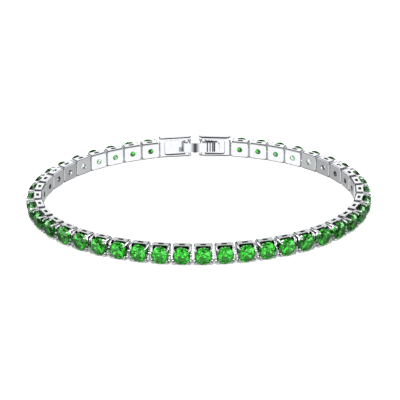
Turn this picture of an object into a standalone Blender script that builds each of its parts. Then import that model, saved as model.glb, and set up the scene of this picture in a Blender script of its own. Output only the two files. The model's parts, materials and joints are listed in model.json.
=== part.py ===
# Tennis bracelet: a loop of square basket links, each with a round cut stone, closed by a fold-over clasp.
# It lies on its side on a surface, in an oval, with the clasp at +Y. Metres, +Z up.
# The origin is the middle of its outline, on the surface that it lies on.

import bisect
import math

import bmesh
import bpy
from mathutils import Matrix, Vector

MM = 0.001

# The loop: the hinge line is an oval, a little deeper on the clasp's side
LINK_COUNT = 41
OVAL_RATIO = 1.30                    # width over depth
EGG_SHARE = 0.009                    # share of the depth that moves towards the clasp
LINK_GAP = 0.45 * MM                 # between two settings
CLASP_LINK_GAP = 0.30 * MM           # between a setting and the clasp
OVAL_STEPS = 2880                    # steps in which the oval's length is measured
SHARP_ANGLE = math.radians(40.0)
ROUND_LIMIT = 0.9                    # a corner's radius stays under this share of the half width beside it

# The setting: X along the chain, Y away from the wrist, Z up, with the hinge line at Y = 0
SIDE_RIM = 0.10 * MM                 # how far a setting stands past its stone along the chain
GALLERY_FRONT = 0.60 * MM            # from the hinge line to the edge of the upper and lower walls
SETTING_WALL = 0.45 * MM
BACK_PLATE = 0.40 * MM
BACK_HOLE_DIAMETER = 1.20 * MM
WINDOW_WIDTH = 1.20 * MM
WINDOW_DEPTH = 0.80 * MM
WINDOW_SHIFT = -0.13 * MM            # from the hinge line to the window's middle
PRONG_WIDTH = 0.70 * MM
PRONG_REACH = 0.35 * MM              # how far a prong stands above the stone's girdle

# The stone
STONE_DIAMETER = 3.60 * MM
CULET_CLEARANCE = 0.91 * MM          # between the stone's point and the back plate
CROWN_HEIGHT = 0.55 * MM
PAVILION_DEPTH = 1.52 * MM
TABLE_SHARE = 0.58                   # table width over stone diameter
TABLE_SIDES = 6
BACK_HOLE_SIDES = 8

# The hinge between two links: a pin in a slotted end wall, held by a wire loop
PIN_DIAMETER = 0.40 * MM
WIRE_DIAMETER = 0.30 * MM
HINGE_CLEARANCE = 0.10 * MM          # between a pin and the loop round it
SLOT_SIDE_CLEARANCE = 0.15 * MM      # beside the loop, where it turns
SLOT_END_CLEARANCE = 0.20 * MM       # above and below the loop
SLOT_SHOULDER = 0.18 * MM            # of wall on both sides of the slot
SOLDER_DEPTH = 0.20 * MM             # how far a wire or pin runs into the wall that it is soldered to
WIRE_SIDES = 5
LOOP_STEPS = 4                       # steps of the half circle round a pin
PIN_SIDES = 5

# The clasp: two trays, a pin across each, and a lever
HOUSING_LENGTH = 7.05 * MM
HOUSING_HEIGHT = 4.50 * MM
HOUSING_FRONT = 0.60 * MM            # from the hinge line to the face away from the wrist
HOUSING_RAIL = 0.45 * MM
HOUSING_PLATE = 0.35 * MM
LEFT_END_WALL = 1.10 * MM
RIGHT_END_WALL = 1.30 * MM
RECESS_CORNER_RADIUS = 0.50 * MM
HOUSING_NOSE_RADIUS = 0.80 * MM
CLASP_GAP = 1.65 * MM                # between the two trays
CLASP_PIN_DIAMETER = 1.00 * MM
CLASP_PIN_INSET = 1.10 * MM          # from a tray's open end to its pin
CLASP_PIN_DEPTH = 0.38 * MM          # from a tray's face at the wrist to its pin's middle
CLASP_PIN_CLEARANCE = 0.10 * MM      # between a pin and the lever
CLASP_PIN_SIDES = 10
NOSE_STEPS = 3

# The lever
LEVER_WIDTH = 2.20 * MM
LEVER_THICKNESS = 0.35 * MM
BRIDGE_RISE = 0.25 * MM
CRADLE_THICKNESS = 0.25 * MM
CRADLE_REACH = math.radians(72.0)    # how far each lip goes round the catch pin
TAB_LENGTH = 3.45 * MM               # from the catch pin to the lever's end
TAB_CORNER_RADIUS = 0.70 * MM
RIB_COUNT = 3
RIB_PITCH = 0.75 * MM
RIB_WIDTH = 0.30 * MM
RIB_HEIGHT = 0.14 * MM
RIB_START = 0.70 * MM                # from the catch pin to the first rib
EYE_STEPS = 12
BRIDGE_STEPS = 6

# Worked out from the values above
STONE_RADIUS = STONE_DIAMETER / 2
SETTING_WIDTH = STONE_DIAMETER + 2 * SIDE_RIM
SETTING_HEIGHT = STONE_DIAMETER
PITCH = SETTING_WIDTH + LINK_GAP
LOOP_RADIUS = (PIN_DIAMETER + WIRE_DIAMETER) / 2 + HINGE_CLEARANCE
SLOT_HALF_WIDTH = LOOP_RADIUS + WIRE_DIAMETER / 2 + SLOT_SIDE_CLEARANCE
SLOT_HALF_HEIGHT = WIRE_DIAMETER / 2 + SLOT_END_CLEARANCE
END_WALL_FRONT = SLOT_HALF_WIDTH + SLOT_SHOULDER
SETTING_BACK = SLOT_HALF_WIDTH + SLOT_SHOULDER + BACK_PLATE
CLASP_PIN_OFFSET = CLASP_PIN_DEPTH - SETTING_BACK
GIRDLE_OFFSET = BACK_PLATE - SETTING_BACK + CULET_CLEARANCE + PAVILION_DEPTH
PIN_INSET = SETTING_WALL / 2
CLASP_LENGTH = 2 * HOUSING_LENGTH + CLASP_GAP
LOOP_LENGTH = LINK_COUNT * PITCH - LINK_GAP + 2 * CLASP_LINK_GAP + CLASP_LENGTH
LINK_CENTRE_HEIGHT = SETTING_HEIGHT / 2
HOUSING_CENTRE_HEIGHT = HOUSING_HEIGHT / 2

METAL = ("rhodium_plated_silver", (0.83, 0.84, 0.85), 1.0, 0.12)
STONE = ("green_stone", (0.02, 0.33, 0.03), 0.0, 0.05)


def start_empty():
    for thing in list(bpy.data.objects):
        bpy.data.objects.remove(thing, do_unlink=True)


def make_collection(name):
    collection = bpy.data.collections.new(name)
    bpy.context.scene.collection.children.link(collection)
    return collection


def make_material(name, colour, metallic, roughness):
    material = bpy.data.materials.new(name)
    material.use_nodes = True
    shader = material.node_tree.nodes["Principled BSDF"]
    shader.inputs["Base Color"].default_value = (*colour, 1.0)
    shader.inputs["Metallic"].default_value = metallic
    shader.inputs["Roughness"].default_value = roughness
    material.diffuse_color = (*colour, 1.0)
    return material


def add_object(name, data, collection, material=None):
    thing = bpy.data.objects.new(name, data)
    if material is not None:
        data.materials.append(material)
    collection.objects.link(thing)
    return thing


def shade(mesh):
    mesh.shade_smooth()
    mesh.set_sharp_from_angle(angle=SHARP_ANGLE)


def mesh_from(name, fill):
    # A mesh filled by one function that works on its bmesh
    mesh = bpy.data.meshes.new(name)
    work = bmesh.new()
    fill(work)
    bmesh.ops.recalc_face_normals(work, faces=work.faces)
    work.to_mesh(mesh)
    work.free()
    shade(mesh)
    return mesh


def block(name, low, high, collection, material=None):
    # A box between two corners
    low = Vector(low)
    high = Vector(high)
    size = high - low
    place = Matrix.Translation((low + high) / 2) @ Matrix.Diagonal((*size, 1.0))
    mesh = mesh_from(name, lambda work: bmesh.ops.create_cube(work, size=1.0, matrix=place))
    return add_object(name, mesh, collection, material)


def rod(name, radius, sides, low, high, collection, material=None):
    # A round bar between two points
    low = Vector(low)
    high = Vector(high)
    run = high - low
    turn = Vector((0.0, 0.0, 1.0)).rotation_difference(run).to_matrix().to_4x4()
    place = Matrix.Translation((low + high) / 2) @ turn

    def fill(work):
        bmesh.ops.create_cone(work, cap_ends=True, segments=sides, radius1=radius, radius2=radius,
                              depth=run.length, matrix=place)

    return add_object(name, mesh_from(name, fill), collection, material)


def curve_to_mesh(curve_object, collection, material=None):
    # The curve's evaluated mesh, with its caps welded, takes the curve's place
    depsgraph = bpy.context.evaluated_depsgraph_get()
    mesh = bpy.data.meshes.new_from_object(curve_object.evaluated_get(depsgraph))
    name = curve_object.name
    place = curve_object.matrix_world.copy()
    bpy.data.objects.remove(curve_object, do_unlink=True)
    work = bmesh.new()
    work.from_mesh(mesh)
    bmesh.ops.remove_doubles(work, verts=work.verts, dist=0.000001)
    bmesh.ops.recalc_face_normals(work, faces=work.faces)
    work.to_mesh(mesh)
    work.free()
    shade(mesh)
    mesh.materials.clear()
    thing = add_object(name, mesh, collection, material)
    thing.matrix_world = place
    return thing


def add_spline(curve, points, closed):
    spline = curve.splines.new("POLY")
    spline.points.add(len(points) - 1)
    for place, point in zip(spline.points, points):
        place.co = (point[0], point[1], 0.0, 1.0)
    spline.use_cyclic_u = closed


def plate(name, outlines, thickness, collection, material=None):
    # Flat outlines in XY, the first one the outer edge and the rest holes, with a thickness along Z
    curve = bpy.data.curves.new(name, "CURVE")
    curve.dimensions = "2D"
    curve.fill_mode = "BOTH"
    curve.extrude = thickness / 2
    for outline in outlines:
        add_spline(curve, outline, True)
    return curve_to_mesh(add_object(name, curve, collection), collection, material)


def wire(name, points, diameter, collection, material=None):
    # A wire along a flat path in XY
    profile = bpy.data.curves.new(name + "_profile", "CURVE")
    add_spline(profile, arc((0.0, 0.0), diameter / 2, 0.0, 2 * math.pi, WIRE_SIDES)[:-1], True)
    profile_object = add_object(name + "_profile", profile, collection)
    curve = bpy.data.curves.new(name, "CURVE")
    curve.dimensions = "3D"
    curve.bevel_mode = "OBJECT"
    curve.bevel_object = profile_object
    curve.use_fill_caps = True
    add_spline(curve, points, False)
    made = curve_to_mesh(add_object(name, curve, collection), collection, material)
    bpy.data.objects.remove(profile_object, do_unlink=True)
    return made


def arc(centre, radius, start, end, steps):
    points = []
    for step in range(steps + 1):
        angle = start + (end - start) * step / steps
        points.append((centre[0] + radius * math.cos(angle), centre[1] + radius * math.sin(angle)))
    return points


def boolean(target, tool, operation):
    modifier = target.modifiers.new(tool.name, "BOOLEAN")
    modifier.operation = operation
    modifier.solver = "EXACT"
    modifier.object = tool
    tool.hide_render = True
    tool.display_type = "WIRE"
    tool.matrix_world = target.matrix_world
    return modifier


def applied(target, tools):
    # The evaluated mesh of a finished stack of modifiers; the stack and its tools are then removed
    bpy.context.view_layer.update()
    depsgraph = bpy.context.evaluated_depsgraph_get()
    mesh = bpy.data.meshes.new_from_object(target.evaluated_get(depsgraph))
    for thing in [target, *tools]:
        bpy.data.objects.remove(thing, do_unlink=True)
    return mesh


def oval_point(angle):
    # The unit oval: angle 0 is the clasp, at +Y, and the angle grows towards +X
    return Vector((OVAL_RATIO * math.sin(angle), math.cos(angle) + EGG_SHARE * math.cos(2 * angle)))


def make_hinge_line():
    # A function that gives the point of the hinge line at a length along it from the clasp's middle
    points = [oval_point(2 * math.pi * step / OVAL_STEPS) for step in range(OVAL_STEPS + 1)]
    lengths = [0.0]
    for before, after in zip(points, points[1:]):
        lengths.append(lengths[-1] + (after - before).length)
    scale = LOOP_LENGTH / lengths[-1]

    def point_at(length):
        unit = (length % LOOP_LENGTH) / scale
        step = min(bisect.bisect_right(lengths, unit), OVAL_STEPS) - 1
        share = (unit - lengths[step]) / (lengths[step + 1] - lengths[step])
        return points[step].lerp(points[step + 1], share) * scale

    return point_at


def placement(start, end, height, shift=0.0):
    # A frame whose X axis runs from start towards end, with its origin a shift along it from start
    run = (end - start).normalized()
    turn = Matrix.Rotation(math.atan2(run.y, run.x), 4, "Z")
    origin = start + run * shift
    return Matrix.Translation((origin.x, origin.y, height)) @ turn


def stone_mesh():
    # A round brilliant: table, girdle and culet as rings of points, wrapped by their hull
    table_radius = STONE_RADIUS * TABLE_SHARE
    rings = ((TABLE_SIDES, table_radius, GIRDLE_OFFSET + CROWN_HEIGHT),
             (2 * TABLE_SIDES, STONE_RADIUS, GIRDLE_OFFSET),
             (1, 0.0, GIRDLE_OFFSET - PAVILION_DEPTH))

    def fill(work):
        for count, radius, offset in rings:
            for step in range(count):
                angle = 2 * math.pi * step / count
                work.verts.new((radius * math.cos(angle), offset, radius * math.sin(angle)))
        bmesh.ops.convex_hull(work, input=work.verts)

    return mesh_from("stone", fill)


def hinge_loop(name, wall_x, gap, collection, material):
    # The wire loop that leaves a wall at wall_x and goes round the pin of the next piece, across a gap
    pin_x = wall_x + gap + PIN_INSET
    start_x = wall_x - SOLDER_DEPTH
    turn = arc((pin_x, 0.0), LOOP_RADIUS, -math.pi / 2, math.pi / 2, LOOP_STEPS)
    path = [(start_x, -LOOP_RADIUS), *turn, (start_x, LOOP_RADIUS)]
    return wire(name, path, WIRE_DIAMETER, collection, material)


def hinge_slot(name, wall_x, depth, collection):
    # The slot that the last piece's loop turns in, through a wall whose outer face is at wall_x
    low = (wall_x - LINK_GAP, -SLOT_HALF_WIDTH, -SLOT_HALF_HEIGHT)
    high = (wall_x + depth, SLOT_HALF_WIDTH, SLOT_HALF_HEIGHT)
    return block(name, low, high, collection)


def hinge_pin_rod(name, wall_x, collection, material):
    # The pin across that slot, soldered at both ends
    half_length = SLOT_HALF_HEIGHT + SOLDER_DEPTH
    pin_x = wall_x + PIN_INSET
    return rod(name, PIN_DIAMETER / 2, PIN_SIDES, (pin_x, 0.0, -half_length), (pin_x, 0.0, half_length),
               collection, material)


def upright(thing):
    # Turns a plate from the XY plane to the XZ plane, in its mesh
    thing.data.transform(Matrix.Rotation(math.radians(90.0), 4, "X"))
    return thing


def moved(thing, offset):
    thing.data.transform(Matrix.Translation(offset))
    return thing


def link_mesh(work_room, metal, green):
    # One link: basket, prongs, hinge and stone as one body
    half_width = SETTING_WIDTH / 2
    half_height = SETTING_HEIGHT / 2
    prong_front = GIRDLE_OFFSET + PRONG_REACH
    beyond = SETTING_WALL
    basket = block("basket", (-half_width, -SETTING_BACK, -half_height), (half_width, prong_front, half_height),
                   work_room, metal)

    pocket_back = BACK_PLATE - SETTING_BACK
    pocket_x = half_width - SETTING_WALL
    pocket_z = half_height - SETTING_WALL
    pocket = block("pocket", (-pocket_x, pocket_back, -pocket_z), (pocket_x, END_WALL_FRONT, pocket_z), work_room)
    gap_x = half_width - PRONG_WIDTH
    gap_z = half_height - PRONG_WIDTH
    notch_along = block("notch_along", (-half_width - beyond, END_WALL_FRONT, -gap_z),
                        (half_width + beyond, prong_front + beyond, gap_z), work_room)
    notch_across = block("notch_across", (-gap_x, GALLERY_FRONT, -half_height - beyond),
                         (gap_x, prong_front + beyond, half_height + beyond), work_room)
    back_hole = rod("back_hole", BACK_HOLE_DIAMETER / 2, BACK_HOLE_SIDES, (0.0, -SETTING_BACK - beyond, 0.0),
                    (0.0, pocket_back + beyond / 2, 0.0), work_room)
    windows = block("windows", (-WINDOW_WIDTH / 2, WINDOW_SHIFT - WINDOW_DEPTH / 2, -half_height - beyond),
                    (WINDOW_WIDTH / 2, WINDOW_SHIFT + WINDOW_DEPTH / 2, half_height + beyond), work_room)
    slot = hinge_slot("slot", -half_width, SETTING_WALL + SLOT_END_CLEARANCE, work_room)
    pin = hinge_pin_rod("pin", -half_width, work_room, metal)
    loop = hinge_loop("loop", half_width, LINK_GAP, work_room, metal)
    stone = add_object("stone", stone_mesh(), work_room, green)

    cuts = [pocket, notch_along, notch_across, back_hole, windows, slot]
    joined = [pin, loop, stone]
    for tool in cuts:
        boolean(basket, tool, "DIFFERENCE")
    for tool in joined:
        boolean(basket, tool, "UNION")
    mesh = applied(basket, cuts + joined)
    mesh.name = "link"
    shade(mesh)
    return mesh


def housing(name, side, parts, cutters, metal):
    # A tray, open to the wrist and at the gap. X = 0 is its open end; side is 1 right of the gap, -1 left of it
    end_wall = RIGHT_END_WALL if side > 0 else LEFT_END_WALL
    half_height = HOUSING_HEIGHT / 2
    half_depth = (SETTING_BACK + HOUSING_FRONT) / 2
    radius = min(HOUSING_NOSE_RADIUS, ROUND_LIMIT * half_depth)
    quarter = math.pi / 2
    nose_back = arc((radius, radius - SETTING_BACK), radius, 2 * quarter, 3 * quarter, NOSE_STEPS)
    nose_front = arc((radius, HOUSING_FRONT - radius), radius, quarter, 2 * quarter, NOSE_STEPS)
    outline = [*nose_back, (HOUSING_LENGTH, -SETTING_BACK), (HOUSING_LENGTH, HOUSING_FRONT), *nose_front]
    outline = [(side * x, y) for x, y in outline]
    tray = plate(name, [outline], HOUSING_HEIGHT, parts, metal)

    recess_end = HOUSING_LENGTH - end_wall
    recess_half = half_height - HOUSING_RAIL
    corner = min(RECESS_CORNER_RADIUS, ROUND_LIMIT * recess_half)
    lower = arc((recess_end - corner, corner - recess_half), corner, -quarter, 0.0, NOSE_STEPS)
    upper = arc((recess_end - corner, recess_half - corner), corner, 0.0, quarter, NOSE_STEPS)
    outline = [(-HOUSING_RAIL, -recess_half), *lower, *upper, (-HOUSING_RAIL, recess_half)]
    outline = [(side * x, z) for x, z in outline]
    plate_face = HOUSING_FRONT - HOUSING_PLATE
    depth = plate_face + SETTING_BACK + HOUSING_RAIL
    recess = moved(upright(plate(name + "_recess", [outline], depth, cutters)), (0.0, plate_face - depth / 2, 0.0))

    # The clasp's pin goes from rail to rail, and is soldered to both
    pin_x = side * CLASP_PIN_INSET
    pin_half = recess_half + HOUSING_RAIL / 2
    pin = rod(name + "_clasp_pin", CLASP_PIN_DIAMETER / 2, CLASP_PIN_SIDES, (pin_x, CLASP_PIN_OFFSET, -pin_half),
              (pin_x, CLASP_PIN_OFFSET, pin_half), cutters, metal)
    tools = [(recess, "DIFFERENCE"), (pin, "UNION")]

    # The links' mid-height is below the tray's, because both lie on the same surface
    drop = (0.0, 0.0, LINK_CENTRE_HEIGHT - HOUSING_CENTRE_HEIGHT)
    if side > 0:
        loop = hinge_loop(name + "_loop", HOUSING_LENGTH, CLASP_LINK_GAP, cutters, metal)
        tools.append((moved(loop, drop), "UNION"))
    else:
        slot = hinge_slot(name + "_slot", -HOUSING_LENGTH, end_wall + SLOT_END_CLEARANCE, cutters)
        tools.append((moved(slot, drop), "DIFFERENCE"))
        tools.append((moved(hinge_pin_rod(name + "_link_pin", -HOUSING_LENGTH, cutters, metal), drop), "UNION"))
    return tray, tools


def place_with_tools(thing, tools, place):
    thing.matrix_world = place
    for tool, operation in tools:
        boolean(thing, tool, operation)


def bridge_rise(x, start, end):
    # How far the strap bulges towards the wrist between the pins
    if x <= start or x >= end:
        return 0.0
    return BRIDGE_RISE * math.sin(math.pi * (x - start) / (end - start))


def lever_outline(pin_spacing, spare):
    # Seen from above, with the hinge pin at the origin and the catch pin on the X axis,
    # and with a spare length past the finger tab
    inner = CLASP_PIN_DIAMETER / 2 + CLASP_PIN_CLEARANCE
    outer = inner + LEVER_THICKNESS
    lip_outer = inner + CRADLE_THICKNESS
    quarter = math.pi / 2
    eye_join = math.asin(inner / outer)
    lip_join = math.asin(inner / lip_outer)
    eye_edge_x = outer * math.cos(eye_join)
    lip_edge_x = lip_outer * math.cos(lip_join)
    arch_start = eye_edge_x
    arch_end = pin_spacing - lip_edge_x
    lip_end = CRADLE_REACH - quarter
    catch = (pin_spacing, 0.0)
    tab_end = pin_spacing + TAB_LENGTH + spare

    eye = arc((0.0, 0.0), outer, -eye_join, 3 * quarter, EYE_STEPS)
    arch_xs = [arch_start + (arch_end - arch_start) * step / BRIDGE_STEPS for step in range(BRIDGE_STEPS + 1)]
    wrist_side = [(x, -outer - bridge_rise(x, arch_start, arch_end)) for x in arch_xs]
    ribs = []
    for rib in range(RIB_COUNT):
        start = pin_spacing + RIB_START + rib * RIB_PITCH
        ribs.extend([(start, -outer), (start + RIB_WIDTH / 3, -outer - RIB_HEIGHT),
                     (start + 2 * RIB_WIDTH / 3, -outer - RIB_HEIGHT), (start + RIB_WIDTH, -outer)])
    end = [(tab_end, -outer), (tab_end, -inner)]
    right_lip = arc(catch, lip_outer, -lip_join, lip_end, 2)
    saddle = arc(catch, inner, lip_end, -math.pi - lip_end, LOOP_STEPS)
    left_lip = arc(catch, lip_outer, -math.pi - lip_end, lip_join - math.pi, 2)
    back_xs = arch_xs[-2:0:-1]
    outward_side = [(x, -inner - bridge_rise(x, arch_start, arch_end)) for x in back_xs]
    hole = arc((0.0, 0.0), inner, 0.0, 2 * math.pi, CLASP_PIN_SIDES)[:-1]
    return [eye + wrist_side + ribs + end + right_lip + saddle + left_lip + outward_side, hole]


def clasp_lever(name, pin_spacing, parts, cutters, metal):
    # The strap's profile, made too wide and long, and trimmed to its width and to a round end at the finger tab
    spare = 2 * LEVER_THICKNESS
    lever = plate(name, lever_outline(pin_spacing, spare), LEVER_WIDTH + spare, parts, metal)
    half = LEVER_WIDTH / 2
    radius = min(TAB_CORNER_RADIUS, ROUND_LIMIT * half)
    far_end = pin_spacing + TAB_LENGTH
    near_end = -2 * CLASP_PIN_DIAMETER
    lower = arc((far_end - radius, radius - half), radius, -math.pi / 2, 0.0, NOSE_STEPS)
    upper = arc((far_end - radius, half - radius), radius, 0.0, math.pi / 2, NOSE_STEPS)
    outline = [(near_end, -half), *lower, *upper, (near_end, half)]
    trim = upright(plate(name + "_trim", [outline], 5 * CLASP_PIN_DIAMETER, cutters))
    return lever, [(trim, "INTERSECT")]


def centre_on_origin(parts, root):
    # Moves the root so that the outline's middle is at the origin
    bpy.context.view_layer.update()
    depsgraph = bpy.context.evaluated_depsgraph_get()
    xs = []
    ys = []
    for thing in parts.objects:
        if thing.type != "MESH":
            continue
        finished = thing.evaluated_get(depsgraph)
        mesh = finished.to_mesh()
        for vertex in mesh.vertices:
            place = finished.matrix_world @ vertex.co
            xs.append(place.x)
            ys.append(place.y)
        finished.to_mesh_clear()
    root.location = (-(min(xs) + max(xs)) / 2, -(min(ys) + max(ys)) / 2, 0.0)
    bpy.context.view_layer.update()


def main():
    start_empty()
    parts = make_collection("tennis_bracelet")
    cutters = make_collection("cutters")
    metal = make_material(*METAL)
    green = make_material(*STONE)
    hinge_line = make_hinge_line()

    # Pins of the links along the hinge line, and the left tray's own pin after them
    first_pin = CLASP_GAP / 2 + HOUSING_LENGTH + CLASP_LINK_GAP + PIN_INSET
    pins = [hinge_line(first_pin + number * PITCH) for number in range(LINK_COUNT)]
    tray_pin = hinge_line(LOOP_LENGTH - CLASP_GAP / 2 - HOUSING_LENGTH + PIN_INSET)
    pins.append(tray_pin)
    shared = link_mesh(cutters, metal, green)
    pin_x = PIN_INSET - SETTING_WIDTH / 2
    for number in range(LINK_COUNT):
        link = bpy.data.objects.new(f"link_{number + 1:02d}", shared)
        parts.objects.link(link)
        link.matrix_world = placement(pins[number], pins[number + 1], LINK_CENTRE_HEIGHT, -pin_x)

    # Each tray lies on the line from its open end to the pin that it hinges on
    right_place = placement(hinge_line(CLASP_GAP / 2), pins[0], HOUSING_CENTRE_HEIGHT)
    left_end = hinge_line(-CLASP_GAP / 2)
    left_span = (left_end - tray_pin).length
    left_place = placement(tray_pin, left_end, HOUSING_CENTRE_HEIGHT, left_span)
    right_tray, right_tools = housing("clasp_housing_right", 1, parts, cutters, metal)
    left_tray, left_tools = housing("clasp_housing_left", -1, parts, cutters, metal)
    place_with_tools(right_tray, right_tools, right_place)
    place_with_tools(left_tray, left_tools, left_place)

    # The lever goes from the left tray's pin to the right tray's, with its origin on the first
    hinge_spot = left_place @ Vector((-CLASP_PIN_INSET, CLASP_PIN_OFFSET, 0.0))
    catch_spot = right_place @ Vector((CLASP_PIN_INSET, CLASP_PIN_OFFSET, 0.0))
    lever, lever_tools = clasp_lever("clasp_lever", (catch_spot - hinge_spot).length, parts, cutters, metal)
    place_with_tools(lever, lever_tools, placement(hinge_spot.xy, catch_spot.xy, HOUSING_CENTRE_HEIGHT))

    root = bpy.data.objects.new("tennis_bracelet", None)
    parts.objects.link(root)
    for thing in [*parts.objects, *cutters.objects]:
        if thing is not root:
            thing.parent = root
    centre_on_origin(parts, root)


main()
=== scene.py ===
import bisect
import json
import math

import bmesh
import bpy
from mathutils import Matrix, Vector


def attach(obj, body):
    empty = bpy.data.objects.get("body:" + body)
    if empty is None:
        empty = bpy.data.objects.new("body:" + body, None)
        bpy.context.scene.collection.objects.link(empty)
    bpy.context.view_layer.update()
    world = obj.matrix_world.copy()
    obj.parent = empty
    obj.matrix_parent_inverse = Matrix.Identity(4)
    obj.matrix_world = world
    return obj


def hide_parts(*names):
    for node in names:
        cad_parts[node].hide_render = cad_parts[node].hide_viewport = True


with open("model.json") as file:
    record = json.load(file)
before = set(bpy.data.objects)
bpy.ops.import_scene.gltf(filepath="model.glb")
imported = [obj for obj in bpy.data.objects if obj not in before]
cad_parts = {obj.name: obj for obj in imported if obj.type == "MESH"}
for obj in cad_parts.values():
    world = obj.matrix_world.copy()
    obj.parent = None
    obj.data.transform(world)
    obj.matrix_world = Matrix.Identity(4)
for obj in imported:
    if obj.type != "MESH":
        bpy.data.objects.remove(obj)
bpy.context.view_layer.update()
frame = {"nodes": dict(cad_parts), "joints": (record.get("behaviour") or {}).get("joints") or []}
print("frame loaded")

# Everything is modelled in millimetres, and scaled to metres when a piece is finished
metresPerMillimetre = 0.001
quarterTurn = math.pi / 2
beyond = 1.0                     # mm that a cutting shape reaches past what it cuts
overlap = 0.2                    # mm that joined shapes run into each other
mergeDistance = 0.0005           # mm between points that are one point
levelAngle = 0.5                 # degrees between faces that are one face
sharpAngle = 36.0                # degrees between faces that aren't shaded as one round
flatNormal = 0.975               # largest part of a normal, above which its face counts as flat


def newObject(name, data):
    thing = bpy.data.objects.new(name, data)
    bpy.context.scene.collection.objects.link(thing)
    return thing


# Camera: the angle, distance and lens of the photo, with the small roll that it shows

camera = {
    "elevation": 25.45,          # degrees above the surface
    "azimuth": -1.78,            # degrees, 0 looks straight at the clasp from the front
    "roll": -0.36,               # degrees about the lens axis
    "distance": 518.7,           # mm from the target
    "target": (0.162, -0.845, 1.8),
    "lens": 223.8,               # mm on a 36 mm sensor
}


def makeCamera():
    data = bpy.data.cameras.new("camera")
    data.lens = camera["lens"]
    data.sensor_width = 36.0
    data.clip_start = 0.01
    data.clip_end = 20.0
    elevation = math.radians(camera["elevation"])
    azimuth = math.radians(camera["azimuth"])
    back = Vector((math.sin(azimuth) * math.cos(elevation), -math.cos(azimuth) * math.cos(elevation),
                   math.sin(elevation)))
    place = (Vector(camera["target"]) + back * camera["distance"]) * metresPerMillimetre
    turn = (-back).to_track_quat("-Z", "Y").to_matrix().to_4x4()
    roll = Matrix.Rotation(math.radians(camera["roll"]), 4, "Z")
    thing = newObject("camera", data)
    thing.matrix_world = Matrix.Translation(place) @ turn @ roll
    bpy.context.scene.camera = thing


# Colours and materials

def hexColour(code):
    # sRGB hex to linear, with alpha
    channels = [int(code[start:start + 2], 16) / 255 for start in (1, 3, 5)]
    linear = [value / 12.92 if value <= 0.04045 else ((value + 0.055) / 1.055) ** 2.4 for value in channels]
    return (*linear, 1.0)


def addNode(tree, kind, settings=None, values=None, links=None):
    # One node, with its own settings, its inputs' values, and links from other nodes' outputs
    node = tree.nodes.new(kind)
    for name, value in (settings or {}).items():
        setattr(node, name, value)
    for name, value in (values or {}).items():
        node.inputs[name].default_value = value
    for name, output in (links or {}).items():
        tree.links.new(output, node.inputs[name])
    return node


def newMaterial(name):
    material = bpy.data.materials.new(name)
    material.use_nodes = True
    material.node_tree.nodes.clear()
    return material, material.node_tree


silver = {
    # Two colours each, which the slow changes in polish run between
    "white": ("#EDEEF0", "#D9DBDE"),
    "recessShade": ("#4A4C50", "#3A3C40"),      # painted shade in the trays' recesses and the lever's grooves
    "pocketAndEdgeShade": ("#7C7E82", "#6A6C70"),     # painted shade in the settings' pockets, and painted dark reflection along the trays' and the lever's round edges
    "edge": ("#86888C", "#787A7E"),          # painted dark reflection on the settings' small round edges, darker than the faces beside them
    "polished": (0.03, 0.08),    # roughness
    "satin": (0.12, 0.17),
    "cloudSize": 1.4,            # mm, of the slow changes in polish
    "cloudDetail": 3.0,
    "grainSize": 0.05,           # mm between polishing marks, drawn coarser than real so that they show
    "grainDetail": 2.0,
    "grainDepth": 0.0006,        # mm
    "grainStrength": 0.15,
    "bandShadeColour": "#3C3E42",     # painted dark reflection, a band across the lever's bridge
    "bandShadeWidth": 1.2,            # mm to each side of the bend
}


def makeSilver(name, roughness, colours, bandShadeAt=None):
    # Silver, rhodium plated. Buffed on a wheel it is a white mirror with faint polishing marks in it.
    # The darker colours are painted shade and painted dark reflection, which draw the edges, and a band
    # across the lever's bridge can be painted dark too
    material, tree = newMaterial(name)
    place = addNode(tree, "ShaderNodeTexCoord").outputs["Object"]
    perMetre = 1 / metresPerMillimetre
    cloud = addNode(tree, "ShaderNodeTexNoise",
                    values={"Scale": perMetre / silver["cloudSize"], "Detail": silver["cloudDetail"]},
                    links={"Vector": place})
    grain = addNode(tree, "ShaderNodeTexNoise",
                    values={"Scale": perMetre / silver["grainSize"], "Detail": silver["grainDetail"]},
                    links={"Vector": place})
    mixed = addNode(tree, "ShaderNodeMix", {"data_type": "RGBA"},
                    {6: hexColour(colours[0]), 7: hexColour(colours[1])}, {"Factor": cloud.outputs["Fac"]})
    colour = mixed.outputs[2]
    # Painted dark reflection: a band across the lever's bridge, darkest at its middle and gone past the
    # band's width
    if bandShadeAt is not None:
        along = addNode(tree, "ShaderNodeSeparateXYZ", links={"Vector": place})
        off = addNode(tree, "ShaderNodeMath", {"operation": "SUBTRACT"}, {1: bandShadeAt},
                      {0: along.outputs["X"]})
        far = addNode(tree, "ShaderNodeMath", {"operation": "ABSOLUTE"}, links={0: off.outputs["Value"]})
        band = addNode(tree, "ShaderNodeMapRange", {"interpolation_type": "SMOOTHSTEP"},
                       {"From Min": silver["bandShadeWidth"] * metresPerMillimetre, "From Max": 0.0},
                       {"Value": far.outputs["Value"]})
        bandShaded = addNode(tree, "ShaderNodeMix", {"data_type": "RGBA"}, {7: hexColour(silver["bandShadeColour"])},
                       {"Factor": band.outputs["Result"], 6: colour})
        colour = bandShaded.outputs[2]
    polish = addNode(tree, "ShaderNodeMapRange", values={"To Min": roughness[0], "To Max": roughness[1]},
                     links={"Value": cloud.outputs["Fac"]})
    bump = addNode(tree, "ShaderNodeBump",
                   values={"Strength": silver["grainStrength"],
                           "Distance": silver["grainDepth"] * metresPerMillimetre},
                   links={"Height": grain.outputs["Fac"]})
    shader = addNode(tree, "ShaderNodeBsdfPrincipled", values={"Metallic": 1.0},
                     links={"Base Color": colour, "Roughness": polish.outputs["Result"],
                            "Normal": bump.outputs["Normal"]})
    addNode(tree, "ShaderNodeOutputMaterial", links={"Surface": shader.outputs["BSDF"]})
    return material


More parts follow.
